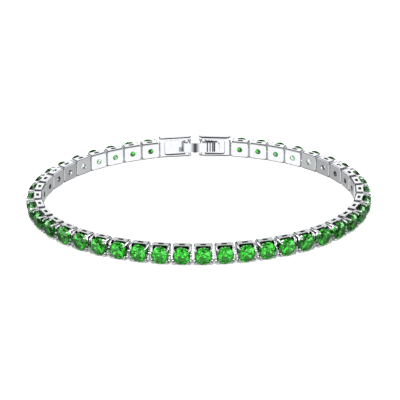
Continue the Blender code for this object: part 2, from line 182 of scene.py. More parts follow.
greenStone = {
    "face": "#B4F5B4",
    "cloud": "#8CE68C",
    "gloss": "#86D886",
    "deep": "#245F24",           # painted shade on the facets under the girdle, which darkens the view through them
    "shadeGloss": "#2E6E2E",
    "cloudSize": 1.1,            # mm
    "cloudDetail": 2.0,
    "ior": 2.15,
    "roughness": 0.01,
    "depthColour": "#52E034",
    "depthDensity": 600.0,       # per metre of stone
}


def makeStone():
    # Cubic zirconia, doped green, cut and polished: clear, deep green in its thickness, with strong sparkle.
    # The facets under the girdle, and by rimShade those beside it, are painted darker with a darker gloss:
    # painted shade, so that the holes behind the stones look dark green
    material, tree = newMaterial("greenZirconiaCutPolished")
    place = addNode(tree, "ShaderNodeTexCoord").outputs["Object"]
    cloud = addNode(tree, "ShaderNodeTexNoise",
                    values={"Scale": 1 / metresPerMillimetre / greenStone["cloudSize"],
                            "Detail": greenStone["cloudDetail"]},
                    links={"Vector": place})
    colour = addNode(tree, "ShaderNodeMix", {"data_type": "RGBA"},
                     {6: hexColour(greenStone["face"]), 7: hexColour(greenStone["cloud"])},
                     {"Factor": cloud.outputs["Fac"]})
    facet = addNode(tree, "ShaderNodeAttribute", {"attribute_name": "paintedShadeFacet"}).outputs["Fac"]
    body = addNode(tree, "ShaderNodeMix", {"data_type": "RGBA"}, {7: hexColour(greenStone["deep"])},
                   {"Factor": facet, 6: colour.outputs[2]})
    gloss = addNode(tree, "ShaderNodeMix", {"data_type": "RGBA"},
                    {6: hexColour(greenStone["gloss"]), 7: hexColour(greenStone["shadeGloss"])},
                    {"Factor": facet})
    shader = addNode(tree, "ShaderNodeBsdfPrincipled",
                     values={"Metallic": 0.0, "IOR": greenStone["ior"], "Roughness": greenStone["roughness"],
                             "Transmission Weight": 1.0},
                     links={"Base Color": body.outputs[2], "Specular Tint": gloss.outputs[2]})
    depth = addNode(tree, "ShaderNodeVolumeAbsorption",
                    values={"Color": hexColour(greenStone["depthColour"]),
                            "Density": greenStone["depthDensity"]})
    addNode(tree, "ShaderNodeOutputMaterial", links={"Surface": shader.outputs["BSDF"],
                                                     "Volume": depth.outputs["Volume"]})
    return material


# Shapes that the pieces share

def fromBmesh(name, work):
    mesh = bpy.data.meshes.new(name)
    bmesh.ops.recalc_face_normals(work, faces=work.faces)
    work.to_mesh(mesh)
    work.free()
    return newObject(name, mesh)


def arc(centre, radius, start, end, steps):
    points = []
    for step in range(steps + 1):
        angle = start + (end - start) * step / steps
        points.append((centre[0] + radius * math.cos(angle), centre[1] + radius * math.sin(angle)))
    return points


def roundedBox(low, high, radius, steps):
    # The outline of a rectangle with round corners
    left = low[0] + radius
    right = high[0] - radius
    lower = low[1] + radius
    upper = high[1] - radius
    corners = (((right, lower), -quarterTurn), ((right, upper), 0.0), ((left, upper), quarterTurn),
               ((left, lower), math.pi))
    points = []
    for centre, start in corners:
        points.extend(arc(centre, radius, start, start + quarterTurn, steps))
    return points


def prism(name, outline, low, high, axis="Z"):
    # A flat outline with a depth. Along Z the outline is in XY; along Y it is in XZ
    work = bmesh.new()
    if axis == "Z":
        bottom = [work.verts.new((x, y, low)) for x, y in outline]
        rise = Vector((0.0, 0.0, high - low))
    else:
        bottom = [work.verts.new((x, low, z)) for x, z in outline]
        rise = Vector((0.0, high - low, 0.0))
    face = work.faces.new(bottom)
    grown = bmesh.ops.extrude_face_region(work, geom=[face])
    top = [item for item in grown["geom"] if isinstance(item, bmesh.types.BMVert)]
    bmesh.ops.translate(work, verts=top, vec=rise)
    return fromBmesh(name, work)


def box(name, low, high):
    outline = [(low[0], low[1]), (high[0], low[1]), (high[0], high[1]), (low[0], high[1])]
    return prism(name, outline, low[2], high[2])


def skin(name, work, loops):
    # Faces between rings of points that follow each other, and a cap at each end
    sides = len(loops[0])
    for lower, upper in zip(loops, loops[1:]):
        for side in range(sides):
            after = (side + 1) % sides
            work.faces.new((lower[side], lower[after], upper[after], upper[side]))
    work.faces.new(loops[0])
    work.faces.new(loops[-1])
    return fromBmesh(name, work)


def ringPoints(radius, sides):
    return arc((0.0, 0.0), radius, 0.0, 2 * math.pi, sides)[:-1]


def tube(name, rings, sides):
    # Along a straight line. Each ring is (centre, radius, direction)
    work = bmesh.new()
    loops = []
    for centre, radius, direction in rings:
        turn = Vector((0.0, 0.0, 1.0)).rotation_difference(Vector(direction)).to_matrix()
        loops.append([work.verts.new(Vector(centre) + turn @ Vector((x, y, 0.0)))
                      for x, y in ringPoints(radius, sides)])
    return skin(name, work, loops)


def wire(name, path, radius, sides):
    # Along a flat path in XY, whose rings all keep one corner at the top
    work = bmesh.new()
    up = Vector((0.0, 0.0, 1.0))
    loops = []
    for number, point in enumerate(path):
        before = path[max(number - 1, 0)]
        after = path[min(number + 1, len(path) - 1)]
        forward = Vector((after[0] - before[0], after[1] - before[1], 0.0)).normalized()
        across = forward.cross(up)
        loops.append([work.verts.new(Vector((*point, 0.0)) + across * x + up * y)
                      for x, y in ringPoints(radius, sides)])
    return skin(name, work, loops)


def rod(name, radius, low, high, sides):
    run = Vector(high) - Vector(low)
    return tube(name, [(low, radius, run), (high, radius, run)], sides)


def cut(target, tools, operation="DIFFERENCE"):
    # Booleans, applied one after another
    for tool in tools:
        modifier = target.modifiers.new(tool.name, "BOOLEAN")
        modifier.operation = operation
        modifier.solver = "EXACT"
        modifier.object = tool
    keepEvaluated(target)
    for tool in tools:
        bpy.data.objects.remove(tool, do_unlink=True)


def keepEvaluated(thing):
    # The evaluated mesh replaces the object's own, and its modifiers go
    bpy.context.view_layer.update()
    depsgraph = bpy.context.evaluated_depsgraph_get()
    mesh = bpy.data.meshes.new_from_object(thing.evaluated_get(depsgraph))
    thing.modifiers.clear()
    thing.data = mesh


def softenEdges(thing, width, segments, angle=38.0, weighted=False):
    # Small round edges, as polishing leaves them
    work = bmesh.new()
    work.from_mesh(thing.data)
    bmesh.ops.remove_doubles(work, verts=work.verts, dist=mergeDistance)
    if not weighted:
        bmesh.ops.dissolve_limit(work, angle_limit=math.radians(levelAngle), verts=work.verts,
                                 edges=work.edges)
    work.to_mesh(thing.data)
    work.free()
    modifier = thing.modifiers.new("softEdges", "BEVEL")
    modifier.width = width
    modifier.segments = segments
    modifier.limit_method = "WEIGHT" if weighted else "ANGLE"
    modifier.angle_limit = math.radians(angle)
    modifier.use_clamp_overlap = True
    keepEvaluated(thing)


def smooth(thing):
    # Flat faces stay flat to the eye, and only the round edges between them are shaded as round
    thing.data.shade_smooth()
    thing.data.set_sharp_from_angle(angle=math.radians(sharpAngle))
    modifier = thing.modifiers.new("flatFaces", "WEIGHTED_NORMAL")
    modifier.mode = "FACE_AREA"
    modifier.weight = 100
    modifier.keep_sharp = True
    keepEvaluated(thing)


def finishPiece(thing, name, material, place=None, others=()):
    # The piece's place and its scale to metres go into the mesh. Others: materials, with the faces they cover
    thing.name = name
    thing.data.name = name
    if place is not None:
        thing.data.transform(place)
    thing.data.transform(Matrix.Scale(metresPerMillimetre, 4))
    thing.data.materials.clear()
    thing.data.materials.append(material)
    for number, (other, marked) in enumerate(others):
        thing.data.materials.append(other)
        for index in marked:
            thing.data.polygons[index].material_index = number + 1
    thing.data.update()
    return thing


# The chain's layout: the hinge line is an oval, and every link spans from its own pin to the next one's

chain = {
    "links": 41,
    "ovalRatio": 1.30,           # length of the oval to its depth
    "eggShare": 0.009,           # how much rounder the oval is at the back
    "linkGap": 0.35,             # mm between settings
    "claspLinkGap": 0.25,        # mm between a setting and a tray
    "settingWidth": 3.90,
    "settingHeight": 3.60,
    "pinInset": 0.275,           # mm from a wall's outer face to the pin in it
    "trayLength": 7.05,
    "claspGap": 1.65,
    "ovalSteps": 2880,
}
pitch = chain["settingWidth"] + chain["linkGap"]
loopLength = (chain["links"] * pitch - chain["linkGap"] + 2 * chain["claspLinkGap"]
              + 2 * chain["trayLength"] + chain["claspGap"])


def makeHingeLine():
    # A function from the length along the chain, from the clasp's middle, to a point in mm
    def unitPoint(angle):
        y = math.cos(angle) + chain["eggShare"] * math.cos(2 * angle)
        return Vector((chain["ovalRatio"] * math.sin(angle), y))

    steps = chain["ovalSteps"]
    points = [unitPoint(2 * math.pi * step / steps) for step in range(steps + 1)]
    lengths = [0.0]
    for before, after in zip(points, points[1:]):
        lengths.append(lengths[-1] + (after - before).length)
    scale = loopLength / lengths[-1]

    def pointAt(length):
        unit = (length % loopLength) / scale
        step = min(bisect.bisect_right(lengths, unit), steps) - 1
        share = (unit - lengths[step]) / (lengths[step + 1] - lengths[step])
        return points[step].lerp(points[step + 1], share) * scale

    return pointAt


def placement(start, end, height, shift=0.0):
    run = (end - start).normalized()
    turn = Matrix.Rotation(math.atan2(run.y, run.x), 4, "Z")
    origin = start + run * shift
    return Matrix.Translation((origin.x, origin.y, height)) @ turn


def layOut():
    # Where each link, each tray and the lever lie, moved so that the lever's hinge is where the frame has it
    pointAt = makeHingeLine()
    half = chain["claspGap"] / 2
    firstPin = half + chain["trayLength"] + chain["claspLinkGap"] + chain["pinInset"]
    pins = [pointAt(firstPin + number * pitch) for number in range(chain["links"])]
    trayPin = pointAt(loopLength - half - chain["trayLength"] + chain["pinInset"])
    pins.append(trayPin)
    middle = chain["settingWidth"] / 2 - chain["pinInset"]
    linkHeight = chain["settingHeight"] / 2
    trayHeight = tray["height"] / 2
    links = [placement(before, after, linkHeight, middle) for before, after in zip(pins, pins[1:])]
    right = placement(pointAt(half), pins[0], trayHeight)
    leftEnd = pointAt(-half)
    left = placement(trayPin, leftEnd, trayHeight, (leftEnd - trayPin).length)
    hinge = left @ Vector((-tray["pinInset"], tray["pinOffset"], 0.0))
    catch = right @ Vector((tray["pinInset"], tray["pinOffset"], 0.0))
    leverPlace = placement(hinge.xy, catch.xy, trayHeight)
    real = Vector(frame["joints"][0]["pos_m"]) / metresPerMillimetre
    shift = Matrix.Translation((real.x - hinge.x, real.y - hinge.y, 0.0))
    return {
        "links": [shift @ place for place in links],
        "left": shift @ left,
        "right": shift @ right,
        "lever": shift @ leverPlace,
        "pinSpacing": (catch - hinge).length,
    }


# The setting: X along the chain, Y away from the wrist, Z up, hinge line at Y = 0

setting = {
    "back": 1.33,
    "front": 0.85,               # edge of the end walls
    "gallery": 0.34,             # lowest part of the scalloped edge between prongs
    "galleryRound": 0.42,
    "endDip": 0.62,              # lowest part of the end walls' edge
    "wall": 0.30,
    "backPlate": 0.40,
    "holeRadius": 0.60,
    "window": (1.20, 0.62),      # along the chain, and deep
    "windowShift": -0.36,
    "corner": 0.45,              # radius of the corners, seen from the stone's side
    "outerEdge": 0.33,           # radius of the upper and lower edges
    "sideShare": 0.45,           # share of it at the side edges
    "innerEdge": 0.05,
    "pocketCorner": 0.25,
    "windowCorner": 0.20,
    "prongRadius": 0.22,
    "prongFoot": (0.25, 1.15),   # where the claw starts, and where it starts to bend
    "prongTip": 1.92,
    # mm below the tip, share of the radius, share of the lean
    "prongTaper": ((0.42, 0.98, 0.25), (0.24, 0.88, 0.6), (0.10, 0.66, 0.85), (0.02, 0.36, 1.0),
                   (0.0, 0.10, 1.0)),
    "prongInset": 0.03,
    "prongLean": 0.22,
    "prongSides": 12,
    "pinRadius": 0.20,
    "wireRadius": 0.15,
    "wireSides": 8,
    "loopRadius": 0.45,
    "slotHalfHeight": 0.35,
    "slotHalfWidth": 0.75,
}


def makeProng(sideX, sideZ):
    # A claw that rises from the corner and bends in over the stone's edge, with a rounded end
    halfX = chain["settingWidth"] / 2
    halfZ = chain["settingHeight"] / 2
    radius = setting["prongRadius"]
    stations = [(offset, 1.0, 0.0) for offset in setting["prongFoot"]]
    stations += [(setting["prongTip"] - below, share, bend) for below, share, bend in setting["prongTaper"]]
    rings = []
    for offset, share, bend in stations:
        inward = radius + setting["prongInset"] + setting["prongLean"] * bend
        place = (sideX * (halfX - inward), offset, sideZ * (halfZ - inward))
        rings.append((place, radius * share, (0.0, 1.0, 0.0)))
    return tube("prong", rings, setting["prongSides"])


def makeLoop(wallX, gap):
    # The wire loop that leaves a wall and goes round the next piece's pin
    centreX = wallX + gap + chain["pinInset"]
    radius = setting["loopRadius"]
    root = wallX - overlap
    path = [(root, -radius), *arc((centreX, 0.0), radius, -quarterTurn, quarterTurn, 12), (root, radius)]
    return wire("loop", path, setting["wireRadius"], setting["wireSides"])


def scallop(gapX):
    # The cut between two claws along the top and bottom walls, with a round at each end
    radius = setting["galleryRound"]
    low = setting["gallery"]
    return [*arc((-gapX + radius, low + radius), radius, math.pi, 1.5 * math.pi, 5),
            *arc((gapX - radius, low + radius), radius, 1.5 * math.pi, 2 * math.pi, 5),
            (gapX, low + 2 * beyond), (-gapX, low + 2 * beyond)]


def dip(gapZ):
    # The shallow round dip in the end walls
    front = setting["front"]
    high = setting["gallery"] + 2 * beyond
    points = []
    for step in range(11):
        angle = math.pi * step / 10
        points.append((gapZ * math.cos(angle), front - (front - setting["endDip"]) * math.sin(angle)))
    return [*points, (-gapZ, high), (gapZ, high)]


def makeSetting():
    halfX = chain["settingWidth"] / 2
    halfZ = chain["settingHeight"] / 2
    wall = setting["wall"]
    back = -setting["back"]
    basket = prism("setting", roundedBox((-halfX, -halfZ), (halfX, halfZ), setting["corner"], 5),
                   back, setting["front"], "Y")
    side = setting["sideShare"]
    weights = basket.data.attributes.new("bevel_weight_edge", "FLOAT", "EDGE")
    for edge, weight in zip(basket.data.edges, weights.data):
        start, end = (basket.data.vertices[index].co for index in edge.vertices)
        run = (end - start).normalized()
        weight.value = 0.0 if abs(run.y) > 0.5 else side + (1 - side) * abs(run.x)
    softenEdges(basket, setting["outerEdge"], 4, weighted=True)
    innerX = halfX - wall
    innerZ = halfZ - wall
    pocket = prism("pocket", roundedBox((-innerX, -innerZ), (innerX, innerZ), setting["pocketCorner"], 3),
                   back + setting["backPlate"], setting["front"] + beyond, "Y")
    across = prism("across", scallop(halfX - 2 * setting["prongRadius"]), -halfZ - beyond, halfZ + beyond)
    along = prism("along", dip(halfZ - 2 * setting["prongRadius"]), -halfX - beyond, halfX + beyond)
    along.data.transform(Matrix.Rotation(quarterTurn, 4, "Y"))
    windowX, windowY = (size / 2 for size in setting["window"])
    shift = setting["windowShift"]
    outline = roundedBox((-windowX, shift - windowY), (windowX, shift + windowY), setting["windowCorner"], 3)
    windows = prism("windows", outline, -halfZ - beyond, halfZ + beyond)
    hole = rod("hole", setting["holeRadius"], (0.0, back - beyond, 0.0), (0.0, back + beyond, 0.0), 28)
    wide = setting["slotHalfWidth"]
    tall = setting["slotHalfHeight"]
    slot = box("slot", (-halfX - beyond, -wide, -tall), (-halfX + wall + overlap, wide, tall))
    cut(basket, [pocket, across, along, windows, hole, slot])
    softenEdges(basket, setting["innerEdge"], 2)

    prongs = [makeProng(sideX, sideZ) for sideX in (-1, 1) for sideZ in (-1, 1)]
    pinX = -halfX + chain["pinInset"]
    pin = rod("pin", setting["pinRadius"], (pinX, 0.0, -tall - overlap), (pinX, 0.0, tall + overlap), 12)
    cut(basket, [*prongs, pin, makeLoop(halfX, chain["linkGap"])], "UNION")
    smooth(basket)
    return basket


def facesWhere(thing, test):
    # The numbers of the faces whose centre and normal pass a test
    return [face.index for face in thing.data.polygons if test(face.center, face.normal)]


def isInside(centre, normal):
    # The setting's pocket walls and floor, round the stone's lower half, which get painted shade
    facing = 0.6
    near = 0.03                  # mm from the floor
    reach = 0.2                  # mm from a wall
    innerX = chain["settingWidth"] / 2 - setting["wall"]
    innerZ = chain["settingHeight"] / 2 - setting["wall"]
    floor = setting["backPlate"] - setting["back"]
    x, y, z = centre
    sideways = x * normal.x < 0 and abs(normal.x) > facing
    upright = z * normal.z < 0 and abs(normal.z) > facing
    onSide = sideways and abs(abs(x) - innerX) < reach and abs(z) < innerZ
    onTop = upright and abs(abs(z) - innerZ) < reach and abs(x) < innerX
    onFloor = abs(y - floor) < near and normal.y > facing
    return (onSide or onTop or onFloor) and floor - near < y < setting["gallery"]


def isRoundEdge(centre, normal):
    # The setting's small round edges, without its claws, pin and loop, which get a painted dark reflection
    halfX = chain["settingWidth"] / 2
    halfZ = chain["settingHeight"] / 2
    reach = setting["outerEdge"]
    x, y, z = centre
    outer = abs(z) > halfZ - reach or (abs(x) > halfX - reach and abs(z) > setting["slotHalfHeight"])
    outwards = normal.dot(centre) > 0.2
    flat = max(abs(value) for value in normal) > flatNormal
    return outer and outwards and not flat and abs(x) < halfX and y < setting["gallery"] - 0.1


# The stone: a round brilliant with 57 facets

stone = {
    "radius": 1.80,
    "tableShare": 0.58,
    "starShare": 0.79,           # of the radius
    "lowerShare": 0.22,          # where the lower facets meet, of the radius
    "girdleOffset": 1.23,        # mm from the hinge line to the girdle's middle
    "girdleHeight": 0.48,
    "crown": 0.55,
    "pavilion": 1.50,
    "rimShade": 0.15,            # how deep the facets beside the girdle look
    "rimFrom": 1.2,              # they lie outside this many radii of the table
}


def makeBrilliant():
    radius = stone["radius"]
    table = radius * stone["tableShare"]
    star = radius * stone["starShare"]
    lower = radius * stone["lowerShare"]
    top = stone["girdleOffset"] + stone["girdleHeight"] / 2
    bottom = stone["girdleOffset"] - stone["girdleHeight"] / 2
    eighth = math.pi / 4
    # Star and lower points lie in the planes of the kites beside them
    starDrop = stone["crown"] * (star * math.cos(eighth / 2) - table) / (radius - table)
    lowerRise = stone["pavilion"] * lower * math.cos(eighth / 2) / radius
    tableOffset = top + stone["crown"]
    tipOffset = bottom - stone["pavilion"]
    # Points on each ring, its radius, where it starts and how far out it lies
    rings = ((8, table, 0.0, tableOffset), (8, star, eighth / 2, tableOffset - starDrop),
             (16, radius, 0.0, top), (16, radius, 0.0, bottom),
             (8, lower, eighth / 2, tipOffset + lowerRise), (1, 0.0, 0.0, tipOffset))
    work = bmesh.new()
    for count, ringRadius, start, offset in rings:
        for step in range(count):
            angle = start + 2 * math.pi * step / count
            work.verts.new((ringRadius * math.cos(angle), offset, ringRadius * math.sin(angle)))
    bmesh.ops.convex_hull(work, input=work.verts)
    bmesh.ops.dissolve_limit(work, angle_limit=math.radians(0.3), verts=work.verts, edges=work.edges)
    brilliant = fromBmesh("brilliant", work)
    # Painted shade: the facets under the girdle fully, those beside it by rimShade
    shades = brilliant.data.attributes.new("paintedShadeFacet", "FLOAT", "FACE")
    for shade, facet in zip(shades.data, brilliant.data.polygons):
        corners = [brilliant.data.vertices[index].co for index in facet.vertices]
        nearest = min(math.hypot(corner.x, corner.z) for corner in corners)
        lowest = min(corner.y for corner in corners)
        if lowest < bottom - mergeDistance:
            shade.value = 1.0
        elif lowest > top - mergeDistance and nearest > table * stone["rimFrom"]:
            shade.value = stone["rimShade"]
    return brilliant


# Geometry Nodes: one copy of a part on every link, each turned to its link's heading

def linkTree():
    tree = bpy.data.node_groups.new("onEveryLink", "GeometryNodeTree")
    face = tree.interface
    face.new_socket("Geometry", in_out="INPUT", socket_type="NodeSocketGeometry")
    face.new_socket("Part", in_out="INPUT", socket_type="NodeSocketObject")
    face.new_socket("Material", in_out="INPUT", socket_type="NodeSocketMaterial")
    face.new_socket("Largest Spin", in_out="INPUT", socket_type="NodeSocketFloat")
    face.new_socket("Seed", in_out="INPUT", socket_type="NodeSocketInt")
    face.new_socket("Geometry", in_out="OUTPUT", socket_type="NodeSocketGeometry")
    inputs = addNode(tree, "NodeGroupInput").outputs
    part = addNode(tree, "GeometryNodeObjectInfo", {"transform_space": "ORIGINAL"},
                   links={"Object": inputs["Part"]})
    heading = addNode(tree, "GeometryNodeInputNamedAttribute", {"data_type": "FLOAT"},
                      values={"Name": "heading"})
    turn = addNode(tree, "ShaderNodeCombineXYZ", links={"Z": heading.outputs["Attribute"]})
    spin = addNode(tree, "FunctionNodeRandomValue", {"data_type": "FLOAT"}, links={"Seed": inputs["Seed"]})
    tree.links.new(inputs["Largest Spin"], spin.inputs[3])
    ownTurn = addNode(tree, "ShaderNodeCombineXYZ", links={"Y": spin.outputs[1]})
    both = addNode(tree, "FunctionNodeRotateRotation", {"rotation_space": "LOCAL"})
    tree.links.new(turn.outputs["Vector"], both.inputs["Rotation"])
    tree.links.new(ownTurn.outputs["Vector"], both.inputs["Rotate By"])
    copies = addNode(tree, "GeometryNodeInstanceOnPoints",
                     links={"Points": inputs["Geometry"], "Instance": part.outputs["Geometry"],
                            "Rotation": both.outputs["Rotation"]})
    realized = addNode(tree, "GeometryNodeRealizeInstances", links={"Geometry": copies.outputs["Instances"]})
    coloured = addNode(tree, "GeometryNodeSetMaterial", links={"Geometry": realized.outputs["Geometry"],
                                                               "Material": inputs["Material"]})
    addNode(tree, "NodeGroupOutput", links={"Geometry": coloured.outputs["Geometry"]})
    return tree


def onEveryLink(name, part, material, places, tree, largestSpin=0.0, seed=0, others=()):
    mesh = bpy.data.meshes.new(name)
    mesh.from_pydata([place.translation for place in places], [], [])
    heading = mesh.attributes.new("heading", "FLOAT", "POINT")
    for item, place in zip(heading.data, places):
        item.value = place.to_euler().z
    thing = newObject(name, mesh)
    modifier = thing.modifiers.new("links", "NODES")
    modifier.node_group = tree
    values = {"Part": part, "Material": material, "Largest Spin": largestSpin, "Seed": seed}
    for socket in tree.interface.items_tree:
        if socket.in_out == "INPUT" and socket.name in values:
            modifier[socket.identifier] = values[socket.name]
    keepEvaluated(thing)
    faces = len(part.data.polygons)
    bpy.data.objects.remove(part, do_unlink=True)
    marks = [(other, [copy * faces + index for copy in range(len(places)) for index in marked])
             for other, marked in others]
    return finishPiece(thing, name, material, None, marks)


# The trays of the clasp. X = 0 is a tray's open end; side is 1 right of the gap and -1 left of it

tray = {
    "height": 4.50,
    "front": 0.60,
    "rail": 0.55,
    "plate": 0.35,
    "endWall": {1: 1.30, -1: 1.10},
    "heel": {1: 0.85, -1: 0.35},     # radius of the outer end
    "ledge": -1.00,              # the recess's floor, from the hinge line
    "ledgeFrom": {1: 2.05, -1: 2.80},
    "wellRoom": 0.12,            # mm above and below the lever
    "wellStart": 0.10,           # mm off the recess's floor, where the well's cut starts
    "corner": 0.55,
    "nose": 0.80,
    "pinRadius": 0.50,
    "pinInset": 1.10,
    "pinOffset": -0.95,
    "outerEdge": 0.42,
    "innerEdge": 0.12,
}


def makeTray(name, side):
    length = chain["trayLength"]
    back = -setting["back"]
    front = tray["front"]
    half = tray["height"] / 2
    nose = tray["nose"]
    heel = tray["heel"][side]
    outline = [*arc((nose, back + nose), nose, math.pi, 1.5 * math.pi, 10),
               *arc((length - heel, back + heel), heel, -quarterTurn, 0.0, 8), (length, front),
               *arc((nose, front - nose), nose, quarterTurn, math.pi, 10)]
    body = prism(name, [(side * x, y) for x, y in outline], -half, half)
    softenEdges(body, tray["outerEdge"], 4)
    end = length - tray["endWall"][side]
    inner = half - tray["rail"]
    corner = tray["corner"]
    outline = [(-beyond, -inner), *arc((end - corner, corner - inner), corner, -quarterTurn, 0.0, 7),
               *arc((end - corner, inner - corner), corner, 0.0, quarterTurn, 7), (-beyond, inner)]
    recess = prism("recess", [(side * x, z) for x, z in outline], back - beyond, tray["ledge"], "Y")
    cut(body, [recess])
    softenEdges(body, tray["innerEdge"], 2)

    wellHalf = lever["width"] / 2 + tray["wellRoom"]
    wellEnds = sorted((side * tray["ledgeFrom"][side], -side * beyond))
    tools = [box("well", (wellEnds[0], tray["ledge"] - tray["wellStart"], -wellHalf),
                 (wellEnds[1], front - tray["plate"], wellHalf))]
    # The links' middle lies lower than the tray's
    drop = chain["settingHeight"] / 2 - half
    wide = setting["slotHalfWidth"]
    tall = setting["slotHalfHeight"]
    if side < 0:
        tools.append(box("slot", (-length - beyond, -wide, drop - tall),
                         (tray["endWall"][side] + overlap - length, wide, drop + tall)))
    cut(body, tools)

    pinX = side * tray["pinInset"]
    pinHalf = inner + overlap
    added = [rod("claspPin", tray["pinRadius"], (pinX, tray["pinOffset"], -pinHalf),
                 (pinX, tray["pinOffset"], pinHalf), 32)]
    if side < 0:
        linkPinX = chain["pinInset"] - length
        added.append(rod("linkPin", setting["pinRadius"], (linkPinX, 0.0, drop - tall - overlap),
                         (linkPinX, 0.0, drop + tall + overlap), 16))
    else:
        loop = makeLoop(length, chain["claspLinkGap"])
        loop.data.transform(Matrix.Translation((0.0, 0.0, drop)))
        added.append(loop)
    cut(body, added, "UNION")
    smooth(body)
    return body


def isOuterEdge(centre, normal):
    # The long round edges along a tray's top and bottom, which get painted shade
    leaning = 0.2 < abs(normal.z) < flatNormal and normal.z * centre.z > 0
    return leaning and abs(centre.z) > tray["height"] / 2 - tray["outerEdge"]


def isRecessEdge(centre, normal):
    # The wall of a tray's recess, with its small round edge, which gets painted shade
    near = 0.1                   # mm
    x, y, z = centre
    edge = tray["innerEdge"]
    end = chain["trayLength"] - tray["endWall"][-1 if x < 0 else 1]
    inside = abs(x) < end + edge and abs(z) < tray["height"] / 2 - tray["rail"] + edge
    shallow = abs(x) > tray["ledgeFrom"][1] - near and y < tray["ledge"] + near
    return inside and shallow and -0.97 < normal.y < 0.5


# The lever: one formed strap, from the eye on the left pin to the ribbed finger tab

lever = {
    "width": 2.20,
    "thickness": 0.35,
    "clearance": 0.10,           # mm round both pins
    "rise": 0.25,                # of the bridge between the pins
    "lip": 0.25,                 # thickness of the cradle
    "lipReach": 72.0,            # degrees round the catch pin
    "tab": 3.45,                 # mm past the catch pin
    "tabCorner": 0.70,
    # mm past the catch pin, and width
    "grooves": ((0.82, 0.22), (1.43, 0.16), (1.96, 0.16), (2.37, 0.34)),
    "grooveDepth": 0.15,
    "grooveSlope": 0.03,         # how far a groove's wall leans
    "groovesFrom": 0.60,         # mm past the catch pin
    "ribHeight": 0.13,
    "edge": 0.17,
}
leverSurface = -(tray["pinRadius"] + lever["clearance"] + lever["thickness"])


def arcRib(start, end, height):
    # A low half-round between two grooves
    steps = 8
    points = []
    for step in range(1, steps):
        angle = math.pi * step / steps
        points.append(((start + end) / 2 - (end - start) / 2 * math.cos(angle), height * math.sin(angle)))
    return points


def makeLever(pinSpacing):
    inner = tray["pinRadius"] + lever["clearance"]
    outer = inner + lever["thickness"]
    lipOuter = inner + lever["lip"]
    eyeJoin = math.asin(inner / outer)
    lipJoin = math.asin(inner / lipOuter)
    archStart = outer * math.cos(eyeJoin)
    archEnd = pinSpacing - lipOuter * math.cos(lipJoin)
    lipEnd = math.radians(lever["lipReach"]) - quarterTurn
    tabEnd = pinSpacing + lever["tab"]
    catch = (pinSpacing, 0.0)
    steps = 16

    def rise(x):
        share = min(max((x - archStart) / (archEnd - archStart), 0.0), 1.0)
        return lever["rise"] * math.sin(math.pi * share) ** 2

    archXs = [archStart + (archEnd - archStart) * step / steps for step in range(steps + 1)]
    outline = arc((0.0, 0.0), outer, -eyeJoin, 3 * quarterTurn, 28)
    outline += [(x, -outer - rise(x)) for x in archXs]
    floor = -outer + lever["grooveDepth"]
    slope = lever["grooveSlope"]
    for (offset, width), after in zip(lever["grooves"], [*lever["grooves"][1:], None]):
        start = pinSpacing + offset - width / 2
        outline += [(start, -outer), (start + slope, floor), (start + width - slope, floor)]
        if after:
            ribEnd = pinSpacing + after[0] - after[1] / 2
            outline += [(x, -outer - y) for x, y in arcRib(start + width, ribEnd, lever["ribHeight"])]
        else:
            outline.append((start + width, -outer))
    outline += [(tabEnd + beyond, -outer), (tabEnd + beyond, -inner)]
    outline += arc(catch, lipOuter, -lipJoin, lipEnd, 6)
    outline += arc(catch, inner, lipEnd, -math.pi - lipEnd, 18)
    outline += arc(catch, lipOuter, -math.pi - lipEnd, lipJoin - math.pi, 6)
    outline += [(x, -inner - rise(x)) for x in archXs[-2:0:-1]]
    half = lever["width"] / 2
    body = prism("lever", outline, -half - beyond / 2, half + beyond / 2)
    corner = lever["tabCorner"]
    around = 4 * beyond
    trim = [(-around, -half), *arc((tabEnd - corner, corner - half), corner, -quarterTurn, 0.0, 9),
            *arc((tabEnd - corner, half - corner), corner, 0.0, quarterTurn, 9), (-around, half)]
    cut(body, [prism("trim", trim, -around, around, "Y")], "INTERSECT")
    cut(body, [rod("eye", inner, (0.0, 0.0, -half - beyond), (0.0, 0.0, half + beyond), 32)])
    softenEdges(body, lever["edge"], 2, 50.0)
    smooth(body)
    return body


# The grooves between the tab's ribs, which get painted shade
def grooveFaces(piece, pinSpacing):
    near = 0.02                  # mm

    def isGroove(centre, normal):
        sunk = near < centre.y - leverSurface < lever["grooveDepth"] + near
        outwards = abs(normal.z) < 0.5 and normal.y < 0.5
        return sunk and outwards and centre.x > pinSpacing + lever["groovesFrom"]

    return facesWhere(piece, isGroove)


def rimFaces(piece, pinSpacing):
    # The round edge along the strap's sides and round the tab's end, which gets a painted dark reflection
    endFrom = pinSpacing + lever["tab"] - lever["tabCorner"]

    def isRim(centre, normal):
        leaning = -0.93 < normal.y < -0.3 and centre.y < leverSurface + lever["edge"]
        return leaning and (abs(normal.z) > 0.25 or centre.x > endFrom)

    return facesWhere(piece, isRim)


# Floor and light

